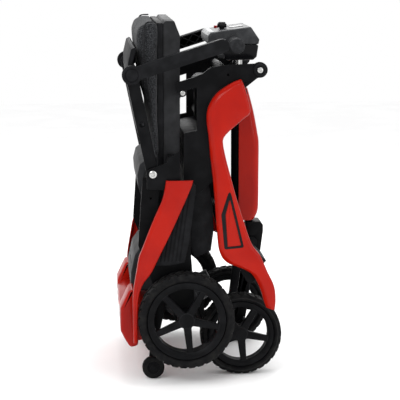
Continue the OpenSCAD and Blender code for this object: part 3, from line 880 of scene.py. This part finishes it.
def bolts():
    for side, sign in SIDES:
        hinge, back, pivot = disc("main_hinge_bolts")[0], BACK_BOLT, SEAT_PIVOT
        bm = bmesh.new()
        revolve(bm, [(0, 156), (9, 156), (9, 158), (5.95, 158), (5.95, 186), (13.2, 186),
                     (14, 186.8), (14, 192.6), (12.4, 194), (9.4, 194), (8.6, 192.4),
                     (0, 192.4)], hinge, 56, sign)
        finish_mesh("hinge_boss_" + side, bm, "black_plastic", "rear_frame",
                    ("main_hinge_bolts",), 35)
        bolt_head("hinge_bolt_" + side, hinge, 192.4, 6.4, 2.2, sign, "rear_frame")
        bolt_head("back_bolt_" + side, back, 230, 8.6, 4, sign, "seat", ("backrest_bolts",))
        bm = bmesh.new()
        revolve(bm, [(0, 203), (4.4, 203), (4.95, 203.8), (4.95, 230), (0, 230)], back, 32, sign)
        finish_mesh("back_pin_" + side, bm, "steel_bolt", "seat", (), 35)
        bolt_head("caster_bolt_" + side, CASTER, 190.2, 6.6, 2.6, sign, "rear_frame")
        bolt_head("seat_bolt_" + side, pivot, PLATE_FACE, 5.6, 3, sign, "rear_frame",
                  ("seat_hinge_pins",))
        bm = bmesh.new()
        revolve(bm, [(0, 160), (4.4, 160), (4.95, 160.8), (4.95, PLATE_FACE), (0, PLATE_FACE)],
                pivot, 32, sign)
        finish_mesh("seat_pin_" + side, bm, "steel_bolt", "rear_frame", (), 35)


# ---- seat ----

CUSHION = [(-94, 787), (-116, 786), (-131, 777), (-133.5, 758), (-131, 726), (-126, 703),
           (-121.5, 647), (-105.5, 594), (-102, 520), (-99, 486), (-94, 486)]
PAD = [(-128.5, 548), (-146, 640), (-148.5, 676), (-145.5, 694), (-141.5, 704), (-140, 700),
       (-139, 672), (-135.5, 640), (-119.5, 562)]


VOXEL = 0.005
PRESSURE = 4.0
SIM_FRAMES = 20


def soft_block(name, outline, half, voxel, cap, pressure):
    """A cushion: an outline extruded across the seat, swollen by a cloth simulation."""
    bm = bmesh.new()
    rounded_slab(bm, fillet(outline, 5, 4), -half, half, 5.0)
    start = loose_object(name, bm)
    mod = start.modifiers.new("remesh", "REMESH")
    mod.mode = "VOXEL"
    mod.voxel_size = voxel
    bpy.context.view_layer.update()
    mesh = bpy.data.meshes.new_from_object(start.evaluated_get(
        bpy.context.evaluated_depsgraph_get()))
    bpy.data.objects.remove(start)
    obj = bpy.data.objects.new(name, mesh)
    bpy.context.scene.collection.objects.link(obj)
    rest = np.array([v.co for v in mesh.vertices])
    inflate(obj, pressure)
    now = np.array([v.co for v in obj.data.vertices])
    move = now - rest
    length = np.linalg.norm(move, axis=1)
    scale = np.minimum(1.0, cap / np.maximum(length, 1e-9))
    now = rest + move * scale[:, None]
    for v, p in zip(obj.data.vertices, now):
        v.co = p
    return obj


def inflate(obj, pressure):
    scene = bpy.context.scene
    cloth = obj.modifiers.new("cloth", "CLOTH")
    settings = cloth.settings
    settings.quality = 5
    settings.mass = 0.3
    settings.tension_stiffness = settings.compression_stiffness = 40
    settings.bending_stiffness = 3
    settings.use_pressure = True
    settings.uniform_pressure_force = pressure
    settings.effector_weights.gravity = 0
    cloth.point_cache.frame_start = 1
    cloth.point_cache.frame_end = SIM_FRAMES
    for number in range(1, SIM_FRAMES + 1):
        scene.frame_set(number)
    mesh = bpy.data.meshes.new_from_object(obj.evaluated_get(
        bpy.context.evaluated_depsgraph_get()))
    obj.modifiers.clear()
    obj.data = mesh
    scene.frame_set(1)


def press_seam(obj, distance, depth, width):
    """Pulls the surface in along a seam; distance(co) is how far a point is from it."""
    normals = [v.normal.copy() for v in obj.data.vertices]
    for v, n in zip(obj.data.vertices, normals):
        d = distance(v.co)
        if d < width:
            v.co -= n * depth * (0.5 + 0.5 * math.cos(math.pi * d / width))


def smooth_once(obj):
    mod = obj.modifiers.new("finer", "SUBSURF")
    mod.levels = mod.render_levels = 1
    bpy.context.view_layer.update()
    mesh = bpy.data.meshes.new_from_object(obj.evaluated_get(
        bpy.context.evaluated_depsgraph_get()))
    obj.modifiers.clear()
    obj.data = mesh


def tube(bm, points, radius, sides=8, cyclic=True):
    """A round tube along a route of points in metres."""
    pts = [Vector(p) for p in points]
    rings = []
    count = len(pts)
    for i, p in enumerate(pts):
        ahead = pts[(i + 1) % count] if cyclic or i + 1 < count else p
        behind = pts[i - 1] if cyclic or i else p
        along = (ahead - behind).normalized()
        side = along.cross(Vector((1, 0, 0)))
        if side.length < 0.2:
            side = along.cross(Vector((0, 1, 0)))
        side.normalize()
        up = along.cross(side).normalized()
        rings.append([p + (side * math.cos(2 * math.pi * k / sides)
                           + up * math.sin(2 * math.pi * k / sides)) * radius
                      for k in range(sides)])
    made = [[bm.verts.new(p) for p in ring] for ring in rings]
    last = count if cyclic else count - 1
    for i in range(last):
        a, b = made[i], made[(i + 1) % count]
        for k in range(sides):
            m = (k + 1) % sides
            bm.faces.new((a[k], a[m], b[m], b[k]))
    if not cyclic:
        bm.faces.new(list(reversed(made[0])))
        bm.faces.new(made[-1])


def seat_soft_goods():
    cushion = soft_block("cushion", CUSHION, 186, VOXEL, 0.0045, PRESSURE)
    seam_z = 0.640

    def across(co):
        return abs(co.z - seam_z) if co.x < -0.112 else 1.0

    press_seam(cushion, across, 0.003, 0.008)
    smooth_once(cushion)
    dress(cushion, "seat_fabric", "seat", ("seat_cushion",), 180)
    for sign, side in ((-1, "right"), (1, "left")):
        bm = bmesh.new()
        y = sign * 0.1885
        route = [(x * MM, y, z * MM) for x, z in
                 resample([(-96, 786), (-113, 785), (-119, 778), (-121, 758), (-120, 700),
                           (-114, 650), (-104, 602)], 40)]
        tube(bm, route, 0.0016, 8, cyclic=False)
        finish_mesh("cushion_piping_" + side, bm, "piping", "seat", (), 180)
    pad = soft_block("back_pad", PAD, 182, VOXEL, 0.0035, PRESSURE)
    smooth_once(pad)
    dress(pad, "seat_fabric", "backrest", ("backrest_pad",), 180)


def seat_shells():
    slab_piece("seat_back_cover", [(-93, 466), (-93, 480), (-116, 485), (-130, 474),
               (-136, 450), (-134, 424), (-126, 400), (-121, 392), (-123, 440), (-114, 466)],
               -150, 150, 1.6, "grey_plastic", "seat", corner=6,
               replaced=("seat_rear_cover",))
    slab_piece("backrest_skin", [(-134, 540), (-152, 640), (-157, 676), (-156, 700),
               (-149, 729), (-142, 733), (-138, 730), (-146, 700), (-150, 676), (-147, 640),
               (-127, 542)], -206, 206, 1.8, "black_plastic", "backrest",
               corner=4, replaced=("backrest_shell",))


# ---- tiller ----

CONSOLE = [(30, 730.6), (136, 730.6), (132, 704), (124, 697), (62, 697), (44, 712)]
LID = [(24, 731.4), (25, 750), (31, 757), (64, 763), (119, 770), (138, 742), (136, 731.4)]


def console():
    slab_piece("console_body", CONSOLE, -95, 95, 3, "gloss_black", "handlebar",
               corner=4, replaced=("console",))
    slab_piece("console_top", LID, -95, 95, 3.5, "silver_dark", "handlebar",
               corner=4, replaced=("console_lid",))
    slab_piece("console_lip", [(22.6, 737), (22.8, 751), (29, 758.4), (38, 760), (38, 757.5),
               (30, 756), (25, 750), (24.8, 737)], -91, 91, 0.7, "silver_plastic", "handlebar",
               corner=1)
    slab_piece("console_screen", [(78, 763.6), (78, 766), (108, 770), (108, 766.8)], -34, 34,
               0.6, "gloss_black", "handlebar")
    slab_piece("head_lamp", [(132, 708), (136, 727), (137.6, 727), (133.8, 707.4)], -42, 42,
               0.6, "lamp_lens", "handlebar", corner=0.6)
    for side, sign in SIDES:
        grip(side, sign)


def grip(side, sign):
    """A rubber grip with rings cut round it every 6.5 mm."""
    r, cut, pitch = 16.5, 15.2, 6.5
    profile = [(0, 101), (13, 101), (15.6, 102.2), (r, 104)]
    y = 106.0
    while y < 170:
        profile += [(r, y), (cut, y + 0.9), (cut, y + 2.1), (r, y + 3.0), (r, y + 6)]
        y += pitch
    profile += [(r, 176), (17.0, 179), (16.6, 182), (14.5, 184.4), (10, 185), (6, 184.2),
                (0, 184.0)]
    bm = bmesh.new()
    revolve(bm, profile, GRIP, 56, sign)
    finish_mesh("grip_" + side, bm, "grip_rubber", "handlebar", ("grips",), 35)


def turned(bm, centre, rings, count=72, teeth=0):
    """A knob round a vertical line. rings is (z, radius, depth of its flutes)."""
    loops = []
    for z, r, depth in rings:
        loops.append([((centre[0] + (r - depth * (0.5 + 0.5 * math.cos(a * teeth)))
                        * math.cos(a)) * MM,
                       (centre[1] + (r - depth * (0.5 + 0.5 * math.cos(a * teeth)))
                        * math.sin(a)) * MM, z * MM)
                      for a in (2 * math.pi * i / count for i in range(count))])
    loft(bm, loops)


def middle_of(node):
    lo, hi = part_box(node)
    return ((lo.x + hi.x) / 2 / MM, (lo.y + hi.y) / 2 / MM)


def controls():
    dial, key, horn = (middle_of(n) for n in ("speed_dial", "key", "horn_button"))
    bm = bmesh.new()
    turned(bm, dial, [(766, 10.2, 0.4), (767, 10.9, 0.9), (773, 10.6, 0.9), (774.6, 9.8, 0.5),
                      (775, 8.2, 0), (777.4, 7.8, 0), (778, 7, 0)], teeth=14)
    revolve_z(bm, [(5, 750), (5, 766.5)], dial, 32)
    finish_mesh("dial_knob", bm, "gloss_black", "speed_dial",
                ("speed_dial",), 40)
    bm = bmesh.new()
    revolve_z(bm, [(6, 752), (6, 765.4), (5.2, 766.2), (2, 766.2)], key, 40)
    bow = [(key[0] + x, z) for x, z in ((-9, 766), (9, 766), (9, 773), (6, 776), (-6, 776),
                                        (-9, 773))]
    rounded_slab(bm, fillet(bow, 2), key[1] - 2.5, key[1] + 2.5, 0.8)
    finish_mesh("key_bow", bm, "black_plastic", "key", ("key",), 40)
    bm = bmesh.new()
    revolve_z(bm, [(7, 757), (7, 765), (6.2, 765.9), (4, 766), (0.5, 765.6)], horn, 40)
    finish_mesh("horn_cap", bm, "horn_red", "horn_button", ("horn_button",), 40)


# ---- armrests, battery and small details ----

def armrest_details():
    for side, sign in SIDES:
        bm = bmesh.new()
        y = ARM_FACE
        revolve(bm, [(0, y), (12.6, y), (13, y + 0.4), (12.4, y + 1.6), (10, y + 2), (0, y + 2)],
                ARM_PIVOT, 48, sign)
        finish_mesh("arm_cap_" + side, bm, "black_plastic", "armrest_" + side,
                    (), 35)
        bm = bmesh.new()
        ring_solid(bm, [(14.5, y), (15, y + 1.2), (18, y + 1.4), (20, y + 0.6), (20.4, y)],
                   ARM_PIVOT, 56, sign)
        finish_mesh("arm_ring_" + side, bm, "black_plastic", "armrest_" + side,
                    (), 35)


def battery():
    slab_piece("battery_case", [(-58, 181), (-58, 284), (-126, 284), (-141, 262), (-150, 222),
               (-151, 196), (-146, 181)], -105, 105, 4, "grey_plastic", "battery",
               corner=8, replaced=("battery",))
    slab_piece("battery_grip", [(-150.5, 214), (-146, 214), (-146, 236), (-147.5, 236)], -48, 48,
               0.5, "black_plastic", "battery")


# Radius, in mm, of the rounded edges of each CAD node that gets them
SOFTENED = {
    "side_panel_right": 0.7, "side_panel_left": 0.7, "seat_brackets": 0.9,
    "backrest_posts": 1.8, "armrest_right": 0.5,
    "armrest_left": 0.5, "anti_tip_brackets": 1.0, "tiller_base": 2.0, "controller_box": 1.4,
    "front_rail_right": 1.2, "front_rail_left": 1.2, "seat_pan": 1.6, "seat_base": 2.0,
    "footplates": 0.7, "front_axle_beam": 1.0, "drive_unit": 1.5, "lever_right": 1.0,
    "lever_left": 1.0, "charge_port": 0.8, "knuckle_right": 0.7, "knuckle_left": 0.7}


def soften(node, width, slot):
    """A CAD node with its edges rounded by width, in mm, as they are on the real piece."""
    bm = bmesh.new()
    bm.from_mesh(nodes[node].data)
    bmesh.ops.remove_doubles(bm, verts=bm.verts, dist=1e-6)
    bmesh.ops.dissolve_limit(bm, angle_limit=math.radians(0.6), verts=bm.verts, edges=bm.edges)
    obj = loose_object("soft_edge_" + node, bm)
    mod = obj.modifiers.new("round", "BEVEL")
    mod.width = width * MM
    mod.segments = 2
    mod.limit_method = "ANGLE"
    mod.angle_limit = math.radians(38)
    mod.use_clamp_overlap = False
    bpy.context.view_layer.update()
    mesh = bpy.data.meshes.new_from_object(obj.evaluated_get(
        bpy.context.evaluated_depsgraph_get()))
    obj.modifiers.clear()
    obj.data = mesh
    dress(obj, slot, nodes[node]["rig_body"], (node,), 40)


def dress_cad():
    """Rounds the edges of the nodes in SOFTENED and gives the others their slot's material."""
    for entry in frame["record"]["subparts"]:
        node, slot = entry["node"], entry["material_slot"]
        if node in SOFTENED:
            soften(node, SOFTENED[node], slot)
        nodes[node].data.materials.clear()
        nodes[node].data.materials.append(mats[slot])


mats = make_materials()
camera()
studio()
floor()
dress_cad()
front_covers()
rear_fenders()
column_cover()
rear_cover()
wheels()
bolts()
seat_shells()
seat_soft_goods()
console()
controls()
armrest_details()
battery()
